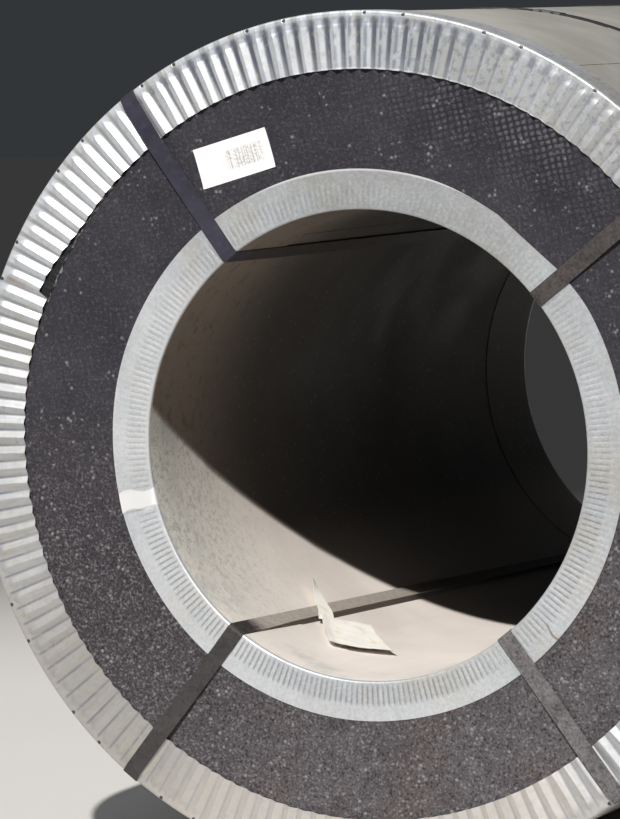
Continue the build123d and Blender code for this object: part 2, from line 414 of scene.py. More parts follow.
def lap_zinc_painted_shade():
    """Zinc of the strip's end under the lap: painted near black as shade, with soil, and scraped bright
    along its free edge.
    """
    g, radius, base, _, relief = galvanised(
        "lap_zinc_painted_shade", colour(0.014, 0.014, 0.015), colour(0.006, 0.006, 0.007), 420.0
    )
    # The zinc under the lap is painted near black as shade
    base = g.mix(0.92, base, colour(0.006, 0.006, 0.008))
    scraped = g.range(g.noise(g.place, 190.0, 4.0, 0.7), 0.45, 0.62, 0.15, 0.75)
    scraped = g.times(scraped, g.range(radius, outer_edge_radius - 0.6 * MM, outer_edge_radius - 1.9 * MM))
    g.set(Base_Color=g.mix(scraped, base, colour(0.27, 0.265, 0.27)), Roughness=0.7, Metallic=0.1)
    g.set(Normal=g.bump(relief, 0.35 * MM, 0.6))
    return g.material


def ribbed_zinc():
    """Zinc of the inner rings: painted shade along the ribs, a painted highlight on the top edge, a bright
    lap, a rust drip, and a dusty tube with painted shade.
    """
    g, radius, base, rough, relief = galvanised(
        "inner_ring_zinc", colour(0.6, 0.62, 0.65), colour(0.47, 0.49, 0.51), 500.0
    )
    angle = g.angle()
    share = g.math("DIVIDE", g.minus(radius, bore_radius), inner_edge_radius - bore_radius)

    # Pale stretches at the left and at the bottom, painted shade along the ribs, and a duller top
    outer_band = g.times(g.between(angle, 240.0, 300.0, 8.0), g.range(share, 0.5, 0.66))
    pale = g.plus(g.times(g.between(angle, 134.0, 186.0, 7.0), 0.62), g.times(outer_band, 0.3))
    pale = g.plus(pale, g.times(g.between(angle, 193.0, 240.0, 9.0), 0.5))
    base = g.mix(pale, base, colour(0.74, 0.755, 0.78))
    ribs = g.times(g.range(g.fold(rib_count), 0.42, 0.9), g.between(share, 0.1, 0.6, 0.07))
    rib_shade_strength = g.plus(g.between(angle, 197.0, 300.0, 8.0), g.between(angle, 312.0, 355.0, 8.0))
    rib_shade_strength = g.plus(g.times(rib_shade_strength, 0.33), 0.24)
    base = g.mix(g.times(ribs, rib_shade_strength), base, colour(0.14, 0.14, 0.17))
    calm = g.between(angle, 44.0, 104.0, 10.0)
    base = g.mix(g.times(calm, 0.62), base, colour(0.355, 0.366, 0.366))

    # Mottling, fine grain and a painted highlight along the edge at the top
    mottle = g.range(g.noise(g.place, 24.0, 4.0, 0.6), 0.5, 0.62, 0.0, 0.3)
    base = g.mix(mottle, base, colour(0.5, 0.55, 0.6))
    grains = g.noise(g.place, 330.0, 2.0, 0.5)
    base = g.mix(g.range(grains, 0.5, 0.66, 0.0, 0.14), base, colour(0.3, 0.3, 0.31))
    base = g.mix(g.range(grains, 0.5, 0.36, 0.0, 0.14), base, colour(0.85, 0.87, 0.9))
    edge = g.times(g.range(share, 0.94, 0.975), g.between(angle, 56.0, 112.0, 5.0))
    base = g.mix(g.times(edge, 0.75), base, colour(0.88, 0.88, 0.88))

    # Bright lap with curved sides, and the rust drip
    curve = g.math("SINE", g.times(g.minus(share, 0.5), 0.9, 7.0))
    patch = g.between(g.plus(angle, g.times(curve, 0.5)), patch_start, patch_end, 0.25)
    base = g.mix(patch, base, colour(0.86, 0.86, 0.86))
    sway = g.times(g.math("SINE", g.times(share, 9.0)), 0.35)
    drip = g.times(g.between(g.plus(angle, sway), drip_start, drip_end, 0.25), g.range(share, 0.5, 0.6))
    base = g.mix(g.times(drip, 0.85), base, colour(0.17, 0.13, 0.06))

    # The tube in the bore is coated as the liner is, painted shade included
    coat, clouds = bore_coat(g)
    tube = g.range(g.absolute(g.y), flange_face - 3 * MM, flange_face - 6 * MM)
    bare = g.minus(1.0, tube)
    base = g.mix(tube, base, coat)
    rough = g.plus(g.times(rough, bare), g.times(tube, 0.65))
    relief = g.plus(g.times(relief, bare), g.times(clouds, tube))
    g.set(Base_Color=base, Roughness=rough, Metallic=g.times(bare, 0.45))
    g.set(Specular_IOR_Level=g.range(tube, 0.0, 1.0, 0.5, 0.3), Normal=g.bump(relief, 0.3 * MM, 0.5))
    return g.material


def bore_coat(g):
    """Colour of the sheets in the bore: buff at the bottom of the near mouth, painted shade everywhere
    else.

    Gives the colour and the clouds in it."""
    clouds = g.noise(g.place, 6.0, 5.0, 0.6)
    depth = g.plus(g.y, disc_face)
    coarse = g.range(g.noise(g.place, 130.0, 4.0, 0.75), 0.48, 0.62)
    fine = g.range(g.noise(g.place, 420.0, 3.0, 0.7), 0.5, 0.64)
    streaks = g.noise(g.scaled(g.place, (45.0, 5.0, 45.0)), 1.0, 5.0, 0.65)
    base = g.mix(g.range(clouds, 0.3, 0.7), colour(0.66, 0.605, 0.565), colour(0.75, 0.695, 0.65))
    base = g.mix(g.range(streaks, 0.5, 0.8, 0.0, 0.2), base, colour(0.5, 0.44, 0.38))

    # Greyer and spotted near the mouth, most of all at the left
    ragged = g.plus(depth, g.times(clouds, 0.2))
    mouth = g.times(g.range(ragged, 0.42, 0.14), g.range(g.angle(), 246.0, 204.0))
    base = g.mix(g.times(mouth, 0.8), base, colour(0.62, 0.605, 0.56))
    spots = g.times(g.plus(g.times(coarse, 0.45), g.times(fine, 0.35)), mouth)
    base = g.mix(spots, base, colour(0.23, 0.235, 0.215))
    smears = g.range(g.noise(g.place, 17.0, 4.0, 0.6), 0.44, 0.6)
    smears = g.times(smears, g.range(depth, 0.11, 0.03))
    base = g.mix(g.times(smears, 0.55), base, colour(0.41, 0.43, 0.4))

    # Painted shade, brown near the mouth and near black further in, with stains and motes
    inner = g.math("MAXIMUM", g.range(depth, 0.05, 0.3), g.range(g.x, -0.16, 0.05))
    inner = g.times(inner, g.range(g.z, -0.1, -0.22, 1.0, 0.55))
    painted_shade_and_stains = g.mix(inner, colour(0.185, 0.147, 0.115), colour(0.045, 0.041, 0.038))
    stains = g.range(g.noise(g.place, 85.0, 4.0, 0.65), 0.54, 0.66, 0.0, 0.55)
    painted_shade_and_stains = g.mix(stains, painted_shade_and_stains, colour(0.05, 0.05, 0.035))
    motes = g.times(g.range(g.cells(115.0), 0.3, 0.1), g.range(coarse, 0.0, 0.7))
    painted_shade_and_stains = g.mix(g.times(motes, 0.75), painted_shade_and_stains, colour(0.16, 0.175, 0.165))

    # The painted shade starts at the edge of the key light's shadow, and is weaker at the bottom
    reach = g.plus(g.times(g.x, shadow_slope_x), g.times(g.z, shadow_slope_z))
    thick = g.range(g.minus(depth, reach), -0.004, 0.018)
    thick = g.times(thick, g.range(g.z, -0.1, -0.24, 0.97, 0.62))
    return g.mix(thick, base, painted_shade_and_stains), clouds


def woven_plastic():
    """Dark coated fabric disc: coarse dusty grains, loose specks, and a worn lattice at the upper right."""
    g = Graph("woven_plastic", Specular_IOR_Level=0.3)
    angle, radius = g.angle(), g.radius()
    lattice_pitch = 7.2 * MM
    wave = math.pi / lattice_pitch
    slant_x = g.plus(g.times(g.x, 0.98), g.times(g.z, 0.2))
    slant_z = g.minus(g.times(g.z, 1.1), g.times(g.x, 0.2))
    bend = g.times(g.minus(g.noise(g.place, 42.0, 3.0, 0.5), 0.5), 2.5)
    across = g.math("SINE", g.plus(g.times(slant_x, wave), bend))
    along = g.math("SINE", g.plus(g.times(slant_z, wave), bend))
    lattice = g.absolute(g.times(across, along))
    patches = g.noise(g.place, 9.0, 5.0, 0.65)
    wear = g.noise(g.place, 34.0, 4.0, 0.6)
    coarse = g.noise(g.place, 190.0, 4.0, 0.7)
    grit = g.noise(g.place, 340.0, 2.0, 0.6)
    fine = g.noise(g.place, 620.0, 3.0, 0.7)
    clean = g.times(g.between(angle, 46.0, 80.0, 12.0), g.range(radius, 0.31, 0.385))
    clean = g.times(clean, g.range(wear, 0.34, 0.56, 0.35, 1.0))
    clear = g.plus(g.times(clean, 0.85), 0.1)
    lower = g.range(g.z, 0.12, -0.2)

    # Near black cloth, browner and dustier towards the lower right
    base = g.mix(g.range(patches, 0.3, 0.7), colour(0.024, 0.022, 0.03), colour(0.04, 0.037, 0.046))
    base = g.mix(g.times(lower, 0.5), base, colour(0.06, 0.05, 0.052))
    settled = g.range(g.minus(g.times(g.x, 0.45), g.z), 0.0, 0.46)
    film = g.mix(g.range(patches, 0.5, 0.62), colour(0.13, 0.12, 0.125), colour(0.13, 0.105, 0.095))
    base = g.mix(g.times(settled, g.range(wear, 0.35, 0.65, 0.3, 0.55)), base, film)

    # Pits and dusty grains, stronger in the lower half
    pits = g.times(g.range(grit, 0.48, 0.36), g.range(coarse, 0.62, 0.42))
    pits = g.times(pits, g.range(lower, 0.0, 1.0, 0.35, 0.85))
    base = g.mix(pits, base, colour(0.008, 0.008, 0.012))
    grains = g.times(g.range(grit, 0.5, 0.62), g.range(coarse, 0.4, 0.56))
    grains = g.times(grains, g.range(lower, 0.0, 1.0, 0.17, 0.62))
    dust = g.mix(g.range(fine, 0.4, 0.6), colour(0.13, 0.125, 0.14), colour(0.25, 0.235, 0.24))
    base = g.mix(grains, base, dust)

    # The lattice where the cloth is worn, and loose specks
    gaps = g.times(g.range(lattice, 0.34, 0.1), clear)
    worn = g.times(g.range(lattice, 0.45, 0.85), g.range(wear, 0.36, 0.6), clear)
    base = g.mix(g.times(gaps, 0.6), base, colour(0.008, 0.008, 0.012))
    base = g.mix(g.times(worn, 0.4), base, colour(0.17, 0.165, 0.19))
    speck_size = g.plus(g.noise(g.place, 60.0, 3.0, 0.6), g.times(lower, 0.05))
    specks = g.times(g.range(g.cells(150.0), 0.4, 0.12), g.range(speck_size, 0.55, 0.66))
    base = g.mix(g.times(specks, 0.55), base, colour(0.33, 0.32, 0.33))

    # Deep shade along the pleats beside the lap
    shade = g.range(radius, outer_edge_radius - 3.5 * MM, outer_edge_radius - 0.5 * MM)
    shade = g.times(shade, g.between(angle, 128.0, 158.0, 3.0))
    base = g.mix(g.times(shade, 0.85), base, colour(0.004, 0.004, 0.006))
    relief = g.plus(g.times(lattice, clear), g.times(g.plus(coarse, grit), 0.6), g.times(specks, 0.4))
    rough = g.range(g.plus(grains, specks), 0.0, 1.0, 0.5, 0.85)
    g.set(Base_Color=base, Roughness=rough, Normal=g.bump(relief, 0.9 * MM, 0.9))
    return g.material


def strap_paint(name, dust_share, tint, dust_tint, bore_tint=None):
    """Painted steel band: dark paint, fine scuffs and a film of dust, and another film in the bore that
    turns to painted shade deeper in.
    """
    g = Graph(name, Metallic=0.2, Coat_Weight=0.1, Coat_Roughness=0.4)
    scuffs = g.noise(g.place, 150.0, 5.0, 0.72)
    patches = g.noise(g.place, 24.0, 4.0, 0.6)
    grit = g.range(g.noise(g.place, 330.0, 3.0, 0.6), 0.42, 0.6)
    base = g.mix(g.range(patches, 0.3, 0.7), tint, colour(*[c * 1.5 for c in tint[:3]]))
    base = g.mix(g.times(g.range(scuffs, 0.55, 0.72), 0.25), base, colour(0.13, 0.125, 0.14))
    dust = g.times(g.range(patches, 0.25, 0.65, 0.45, 1.0), dust_share, g.plus(g.times(grit, 0.5), 0.5))
    base = g.mix(dust, base, dust_tint)
    pits = g.times(g.range(scuffs, 0.5, 0.36), dust_share)
    base = g.mix(g.times(pits, 0.6), base, colour(0.014, 0.012, 0.013))
    rough = g.plus(g.range(scuffs, 0.3, 0.75, 0.36, 0.5), g.times(dust, 0.4))
    if bore_tint:
        depth = g.plus(g.y, disc_face)
        inside = g.range(g.radius(), bore_radius + 4 * MM, bore_radius + 1 * MM)
        inside = g.times(inside, g.range(g.plus(depth, g.times(scuffs, 40 * MM)), 50 * MM, 84 * MM))
        film = g.mix(g.range(scuffs, 0.35, 0.65), bore_tint, colour(*[c * 0.78 for c in bore_tint[:3]]))
        # Deeper in the bore the film is painted near black as shade
        film = g.mix(g.range(depth, 0.4, 0.55, 0.0, 0.8), film, colour(0.04, 0.035, 0.033))
        base = g.mix(g.times(inside, 0.95), base, film)
        rough = g.plus(rough, g.times(inside, 0.2))
    relief = g.plus(g.times(scuffs, 0.5), g.times(grit, 0.6 * dust_share))
    g.set(Base_Color=base, Roughness=rough, Normal=g.bump(relief, 0.3 * MM, 0.7))
    return g.material


def liner_material():
    """The bore's lining: coated sheet with specks, painted shade and the dark line of its seam."""
    g = Graph("bore_lining", Specular_IOR_Level=0.3)
    base, clouds = bore_coat(g)
    seam = g.between(g.angle(), seam_start, seam_end, 0.1)
    base = g.mix(g.times(seam, 0.8), base, colour(0.02, 0.017, 0.015))
    relief = g.minus(clouds, g.times(seam, 0.5))
    g.set(Base_Color=base, Roughness=g.range(clouds, 0.3, 0.7, 0.55, 0.75))
    g.set(Normal=g.bump(relief, 0.6 * MM, 0.5))
    return g.material


def wrap_material():
    """Outer wrap: pale coated sheet with rolling lines round it, dents, handling marks and soil."""
    g = Graph("wrap_sheet", Metallic=0.35, Specular_IOR_Level=0.5)
    polar = g.polar(g.radius())
    lines = g.noise(g.scaled(polar, (3.0, 3.0, 300.0)), 1.0, 4.0, 0.6)
    clouds = g.noise(g.place, 3.5, 5.0, 0.6)
    dents = g.noise(g.place, 11.0, 2.0, 0.4)
    marks = g.range(g.noise(g.scaled(polar, (40.0, 40.0, 9.0)), 1.0, 6.0, 0.75), 0.6, 0.74)
    under = g.range(g.z, -0.1, -0.42)
    base = g.mix(g.range(clouds, 0.3, 0.7), colour(0.52, 0.5, 0.46), colour(0.64, 0.62, 0.58))
    base = g.mix(g.range(lines, 0.4, 0.7, 0.0, 0.18), base, colour(0.4, 0.39, 0.37))
    base = g.mix(g.times(marks, 0.3), base, colour(0.26, 0.23, 0.2))
    base = g.mix(g.times(under, 0.35), base, colour(0.3, 0.25, 0.2))
    relief = g.plus(dents, g.times(lines, 0.03))
    rough = g.plus(g.range(clouds, 0.3, 0.7, 0.34, 0.48), g.times(marks, 0.15))
    g.set(Base_Color=base, Roughness=rough, Normal=g.bump(relief, 2.5 * MM, 0.5))
    return g.material


def roll_material():
    """The rolled strip: bright steel with the edges of its turns showing as rings on the ends."""
    g = Graph("coil_steel", Metallic=0.9)
    turns = g.noise(g.vector(g.radius(), 0.0, 0.0), 900.0, 3.0, 0.8)
    clouds = g.noise(g.place, 5.0, 4.0, 0.6)
    base = g.mix(g.range(turns, 0.35, 0.65), colour(0.2, 0.19, 0.18), colour(0.58, 0.57, 0.55))
    base = g.mix(g.range(clouds, 0.5, 0.75, 0.0, 0.4), base, colour(0.32, 0.27, 0.23))
    g.set(Base_Color=base, Roughness=g.range(clouds, 0.3, 0.7, 0.3, 0.5))
    g.set(Normal=g.bump(turns, 0.6 * MM, 0.8))
    return g.material


def label_material(centre):
    """White label paper with a block of faint grey marks that spell nothing."""
    g = Graph("label_paper", Specular_IOR_Level=0.3)
    turn = math.radians(label_tilt)
    off_x, off_z = g.minus(g.x, centre[0]), g.minus(g.z, centre[1])
    across = g.plus(g.times(off_x, math.cos(turn)), g.times(off_z, math.sin(turn)))
    up = g.minus(g.times(off_z, math.cos(turn)), g.times(off_x, math.sin(turn)))
    bars = g.range(g.noise(g.vector(across, 0.0, 0.0), 520.0, 0.0), 0.5, 0.56)
    rows = g.range(g.noise(g.vector(across, g.times(up, 1.5), 0.0), 260.0, 2.0), 0.5, 0.6)
    block = g.times(g.between(across, -0.009, 0.034, 0.004), g.between(up, -0.0105, 0.0105, 0.002))
    ink = g.times(block, g.plus(g.times(g.plus(bars, rows), 0.3), 0.12))
    fibres = g.noise(g.place, 700.0, 3.0, 0.6)
    base = g.mix(g.range(fibres, 0.3, 0.7), colour(0.82, 0.81, 0.8), colour(0.9, 0.89, 0.88))
    base = g.mix(ink, base, colour(0.2, 0.2, 0.22))
    g.set(Base_Color=base, Roughness=g.range(fibres, 0.3, 0.7, 0.5, 0.62))
    g.set(Normal=g.bump(fibres, 0.1 * MM, 0.4))
    return g.material


def scrap_material():
    """Crumpled scrap of paper, white with yellowed folds."""
    g = Graph("scrap_paper", Specular_IOR_Level=0.2, Roughness=0.8)
    clouds = g.noise(g.place, 60.0, 4.0, 0.6)
    fibres = g.noise(g.place, 600.0, 3.0, 0.6)
    base = g.mix(g.range(clouds, 0.52, 0.74), colour(0.82, 0.8, 0.76), colour(0.75, 0.66, 0.5))
    g.set(Base_Color=base, Normal=g.bump(fibres, 0.2 * MM, 0.5))
    return g.material


def floor_material():
    """Pale studio floor that falls off into a dark grey away from the object, painted shade that shows
    through the bore.
    """
    g = Graph("floor", Roughness=0.75)
    clouds = g.noise(g.place, 1.5, 3.0, 0.5)
    pale = g.mix(clouds, colour(0.6, 0.59, 0.57), colour(0.65, 0.64, 0.62))
    far = g.range(g.length(g.place), 1.3, 4.0)
    g.set(Base_Color=g.mix(far, pale, colour(0.017, 0.0175, 0.0185)))
    return g.material


def edge_ring_section(edge_radius, tube_radius, tube_end, ring_bend, face_stations):
    """Front of a ring's section from its face edge round the bend to the end of its tube.

    Gives radii, places along the axis from the middle, and the outward directions."""
    side = math.copysign(1, tube_radius - edge_radius)
    radii, places, normals = [], [], []
    bend_radius = tube_radius - side * ring_bend
    for share in face_stations:
        radii.append(edge_radius + share * (bend_radius - edge_radius))
        places.append(flange_face)
        normals.append((0.0, 1.0))
    for turn in np.radians((22.5, 45.0, 67.5, 90.0)):
        radii.append(bend_radius + side * ring_bend * math.sin(turn))
        places.append(flange_face - ring_bend + ring_bend * math.cos(turn))
        normals.append((side * math.sin(turn), math.cos(turn)))
    for share in (0.2, 0.6, 1.0):
        radii.append(tube_radius)
        places.append((1 - share) * (flange_face - ring_bend) + share * tube_end)
        normals.append((side, 0.0))
    return np.array(radii), np.array(places), np.array(normals)


def sheet_ring(name, angles, radii, places, normals, end_side):
    """A closed thin ring from the front points of its section at every angle.

    angles, radii and places have a row for each column. end_side is -1 for the near end."""
    thickness = ring_sheet - disc_gap
    back_radii = radii - thickness * normals[:, 0]
    back_places = places - thickness * normals[:, 1]
    all_radii = np.concatenate([radii, back_radii[:, ::-1]], 1)
    all_places = np.concatenate([places, back_places[:, ::-1]], 1)
    front_turn = np.radians(angles) + np.zeros(radii.shape)
    turn = np.concatenate([front_turn, front_turn[:, ::-1]], 1)
    points = np.stack(
        [all_radii * np.cos(turn), end_side * all_places, all_radii * np.sin(turn)], -1
    )
    if end_side > 0:
        points = points[::-1]
    return closed_grid(name, points)


def pleated_ring(name, end_side, has_lap):
    """Outer ring: pleats as wide as their pitch at the inner edge, narrower towards round heads."""
    # Station where a pleat's flank comes down to the flat beside it
    foot = 0.93
    stations = np.array([-1, -foot, -0.85, -0.45, -0.07, 0, 0.07, 0.45, 0.85, foot])
    columns = pleat_count * len(stations)
    station = np.tile(stations, pleat_count)[:, None]
    pleat = np.repeat(np.arange(pleat_count), len(stations))
    pitch = 360 / pleat_count
    edges = (np.arange(pleat_count) + chance.uniform(-0.05, 0.05, pleat_count)) * pitch
    widths = (np.roll(edges, -1) - edges) % 360
    crests = edges + widths * (0.5 + chance.uniform(-0.05, 0.05, pleat_count))
    height = pleat_height * chance.uniform(0.84, 1.0, pleat_count)[pleat][:, None]
    reach = chance.uniform(0.93, 1.0, pleat_count)[pleat][:, None]
    lean = chance.uniform(-0.07, 0.07, pleat_count)[pleat][:, None] * pitch
    face = (0.0, 0.02, 0.1, 0.25, 0.42, 0.57, 0.69, 0.76, 0.81, 0.855, 0.89, 0.92, 1.0)
    radii, places, normals = edge_ring_section(
        outer_edge_radius, rim_radius, outer_tube_end, outer_ring_bend, face
    )
    radii, places = np.tile(radii, (columns, 1)), np.tile(places, (columns, 1))
    tip_radius = rim_radius - smooth_lip
    share = np.clip((radii - outer_edge_radius) / (reach * (tip_radius - outer_edge_radius)), 0, 1)
    closing = np.clip((1 - share) / 0.13, 0, 1) ** 0.6
    half_width = np.maximum((1 - 0.3 * share) * closing, 0.04)
    inside = np.minimum(np.abs(station) / foot, 1)
    outside = np.clip((np.abs(station) - foot) / (1 - foot), 0, 1)
    phase = np.sign(station) * (inside * half_width + outside * (1 - half_width))
    low, middle = edges[pleat][:, None], crests[pleat][:, None]
    high = low + widths[pleat][:, None]
    sway = lean * np.sin(math.pi * share) * (1 - np.abs(phase))
    angles = middle + phase * np.where(phase < 0, middle - low, high - middle) + sway
    slope = (1 - 0.25 * share) * (1 - smooth_step(0.84, 1.0, share))
    raised = height * slope * (1 - inside)
    raised[:, len(face) :] = 0
    places += raised
    if has_lap:
        run = (angles % 360 - (lap_end - lap_run)) / lap_run
        shift = np.where((run > 0) & (run < 1), lap_step * smooth_step(0, 1, run), 0)
        outwards = (radii - outer_edge_radius) / (0.55 * (rim_radius - outer_edge_radius))
        radii += shift * (1 - np.clip(outwards, 0, 1))
    radii[:, :1] += 0.5 * MM * np.sin(np.radians(angles[:, :1] * 7 + 40))
    radii[:, :1] += chance.normal(0, 0.12 * MM, (columns, 1))
    return sheet_ring(name, angles, radii, places, normals, end_side)


def ribbed_ring(name, end_side):
    """Inner ring: fine ribs in the half next to the bore, a smooth outer band and its lap."""
    stations = np.array([0.0, 0.17, 0.34, 0.5, 0.66, 0.83])
    columns = rib_count * len(stations)
    phase = np.tile(stations, rib_count)
    rib = np.repeat(np.arange(rib_count), len(stations))
    angles = (rib + phase) * 360 / rib_count
    calm = 1 - 0.85 * bumps(angles, 60, 30)
    lap = (angles > patch_start) & (angles < patch_end)
    height = rib_height * chance.uniform(0.6, 1.0, rib_count)[rib] * calm * np.where(lap, 0.0, 1.0)
    face = (0.0, 0.02, 0.15, 0.32, 0.42, 0.5, 0.6, 0.75, 0.86, 0.94, 1.0)
    radii, places, normals = edge_ring_section(
        inner_edge_radius, bore_radius, inner_tube_end, inner_ring_bend, face
    )
    radii, places = np.tile(radii, (columns, 1)), np.tile(places, (columns, 1))
    share = (radii - bore_radius) / (inner_edge_radius - bore_radius)
    wide = 0.35 * bumps(angles, 335, 40)[:, None]
    fade = smooth_step(0.06, 0.16, share) * (1 - smooth_step(0.42 + wide, 0.85 + wide, share))
    places += (height * (0.5 - 0.5 * np.cos(2 * math.pi * phase)))[:, None] * fade
    ramp = np.where(lap, patch_rise * (angles - patch_start) / (patch_end - patch_start), 0)
    places += ramp[:, None] * smooth_step(0.02, 0.12, share)
    uneven = 0.3 * MM * np.sin(np.radians(angles * 5)) + 0.2 * MM * np.sin(np.radians(angles * 11 + 70))
    rest = -kink_depth * (1 - smooth_step(kink_end, kink_return, angles))
    rest *= smooth_step(kink_leave, kink_start, angles)
    half_turn = math.radians(kink_end - kink_start) / 2
    off_middle = np.radians(angles - (kink_start + kink_end) / 2)
    chord = (inner_edge_radius - kink_depth) * math.cos(half_turn) / np.cos(off_middle)
    in_kink = (angles > kink_start) & (angles < kink_end)
    uneven += np.where(in_kink, chord - inner_edge_radius, rest)
    radii += uneven[:, None] * smooth_step(0.6, 1.0, share)
    return sheet_ring(name, angles[:, None], radii, places, normals, end_side)


def strap_band(number):
    """An eye strap: a band with bevelled edges, bent round both ends, as skewed as it lies."""
    rim_angle, bore_angle, far_angle, seal_angle = strap_angles[number]
    half = strap_sheet / 2
    bore_leg = math.sqrt(bore_radius**2 - (strap_width / 2) ** 2) - strap_gap - half
    rim_leg = rim_radius + strap_gap + half
    crest = strap_top - half
    face_low = flange_face + rib_height + strap_gap + half
    corner = 2.5 * MM
    end_path = [
        (rim_leg, flange_face - corner),
        (rim_leg - 0.3 * corner, flange_face + half),
        (rim_leg - 1.2 * corner, flange_face + strap_gap + half + 0.5 * MM),
        (outer_edge_radius + 50 * MM, crest - 1.1 * MM),
        (outer_edge_radius + 30 * MM, crest - 0.5 * MM),
        (outer_edge_radius + 12 * MM, crest - 0.1 * MM),
        (outer_edge_radius, crest),
        (outer_edge_radius - 25 * MM, crest - 1.2 * MM),
        (inner_edge_radius + 10 * MM, face_low + 0.4 * MM),
        (inner_edge_radius - 10 * MM, face_low),
        (bore_leg + 1.5 * corner, face_low),
        (bore_leg + 0.35 * corner, face_low - 0.3 * corner),
        (bore_leg, face_low - 1.3 * corner),
    ]
    down = np.linspace(0.55, -0.55, 25)
    leg_share = 0.5 - down / (2 * flange_face)
    half_skew = math.radians(far_angle - bore_angle) / 2
    lift = bore_leg * (1 - math.cos(half_skew)) * (1 - (2 * leg_share - 1) ** 2)
    path = end_path + list(zip(bore_leg - lift, down))
    path += [(r, -p) for r, p in reversed(end_path)] + [(rim_leg, -p) for p in down]
    path = np.array(path)

    # The band's angle along its path, and how far one edge stands up in the bore
    near = slice(0, len(end_path))
    bore = slice(near.stop, near.stop + len(down))
    far = slice(bore.stop, bore.stop + len(end_path))
    outside = slice(far.stop, len(path))
    across = (path[:, 0] - bore_leg) / (rim_leg - bore_leg)
    home = smooth_step(0, flange_face, path[outside, 1])
    angle = np.empty(len(path))
    angle[near] = bore_angle + across[near] * (rim_angle - bore_angle)
    angle[bore] = bore_angle + leg_share * (far_angle - bore_angle)
    angle[far] = far_angle + across[far] * (seal_angle - far_angle)
    angle[outside] = seal_angle + home * (rim_angle - seal_angle)
    twist = np.zeros(len(path))
    twist[bore] = strap_twist[number] * smooth_step(0.02, 0.12, leg_share) * smooth_step(1, 0.9, leg_share)

    # The band's section, carried along the path
    tangent = np.roll(path, -1, 0) - np.roll(path, 1, 0)
    tangent /= np.linalg.norm(tangent, axis=1)[:, None]
    outward = np.stack([tangent[:, 1], -tangent[:, 0]], 1)
    edge = 0.2 * MM
    wide, thick = strap_width / 2, half
    section = [
        (-wide, -thick + edge), (-wide, thick - edge), (-wide + edge, thick), (wide - edge, thick),
        (wide, thick - edge), (wide, -thick + edge), (wide - edge, -thick), (-wide + edge, -thick),
    ]
    turn = np.radians(angle)
    points = np.zeros((len(path), len(section), 3))
    for row, (side, rise) in enumerate(section):
        radius = path[:, 0] + outward[:, 0] * rise - twist * (side / wide + 1) / 2
        place = path[:, 1] + outward[:, 1] * rise
        points[:, row, 0] = radius * np.cos(turn) - side * np.sin(turn)
        points[:, row, 1] = -place
        points[:, row, 2] = radius * np.sin(turn) + side * np.cos(turn)
    piece = closed_grid(f"eye_band_{number}", points)
    piece.data.polygons.foreach_set("use_smooth", np.zeros(len(piece.data.polygons), bool))
    return piece


def thin_sheet(name, front, back):
    """A closed thin sheet between two grids of points, the first of them on its open side."""
    columns, rows = front.shape[:2]
    count = columns * rows
    faces = []
    for column in range(columns - 1):
        for row in range(rows - 1):
            a, b = column * rows + row, (column + 1) * rows + row
            faces.append((a, b, b + 1, a + 1))
            faces.append((count + a + 1, count + b + 1, count + b, count + a))
    border = [column * rows for column in range(columns)]
    border += [(columns - 1) * rows + row for row in range(1, rows)]
    border += [column * rows + rows - 1 for column in range(columns - 2, -1, -1)]
    border += list(range(rows - 2, 0, -1))
    for first, second in zip(border, border[1:] + border[:1]):
        faces.append((second, first, count + first, count + second))
    return mesh_piece(name, np.concatenate([front.reshape(-1, 3), back.reshape(-1, 3)]), faces)


def label_sheet(centre):
    """The label: a thin sheet that lies on the disc, with its corners a little up."""
    half_width, half_height = label_size[0] / 2, label_size[1] / 2
    across, up = np.meshgrid(
        np.linspace(-half_width, half_width, 25), np.linspace(-half_height, half_height, 13), indexing="ij"
    )
    curl = 1.2 * MM * (np.abs(across) / half_width) ** 6 * (np.abs(up) / half_height) ** 4
    curl += 0.15 * MM * (1 + np.sin(across * 130) * np.cos(up * 170))
    turn = math.radians(label_tilt)
    x = centre[0] + across * math.cos(turn) - up * math.sin(turn)
    z = centre[1] + across * math.sin(turn) + up * math.cos(turn)
    layers = [np.stack([x, -(disc_face + disc_gap + curl + lift), z], -1) for lift in (paper_sheet, 0.0)]
    return thin_sheet("label", *layers)


def bore_sheet(name, corners, steps, lift):
    """A thin sheet of paper on the wall of the bore.

    corners are angle and depth pairs in the order low angle near, high angle near, high far, low far.
    lift gives the height over the wall from the two grids of shares across and along."""
    across, along = np.meshgrid(np.linspace(0, 1, steps[0]), np.linspace(0, 1, steps[1]), indexing="ij")
    near_low, near_high, far_high, far_low = (np.array(corner)[:, None, None] for corner in corners)
    near = near_low + (near_high - near_low) * across
    far = far_low + (far_high - far_low) * across
    angle, depth = near + (far - near) * along
    turn = np.radians(angle)
    layers = []
    for back in (0.0, paper_sheet):
        radius = bore_radius - 0.3 * MM - lift(across, along) + back
        layers.append(np.stack([radius * np.cos(turn), depth * MM - disc_face, radius * np.sin(turn)], -1))
    return thin_sheet(name, *layers)


def scrap_lift(across, along):
    """Rise of the scrap of paper: crumpled, curled up along two of its edges, and raised at the strap."""
    crumple = 0.6 * MM * (1 + np.sin(across * 9 + along * 4) * np.cos(along * 7 - across * 3))
    crumple += 0.3 * MM * np.sin(across * 31 + along * 17) * np.sin(along * 27)
    curl = 3 * MM * smooth_step(0.86, 1.0, across) ** 2 + 2 * MM * smooth_step(0.16, 0.0, along)
    return 2.2 * MM + np.abs(crumple) + curl + 2.5 * MM * smooth_step(0.3, 0.0, across)


def strip_lift(across, along):
    """Rise of the torn strip of the paper: it crosses the strap and stands up at its tip."""
    over = 4.2 * MM * (1 - smooth_step(0.8, 1.0, across))
    return 4.4 * MM + over + 4 * MM * smooth_step(0.5, 0.0, across) * (1 - along)


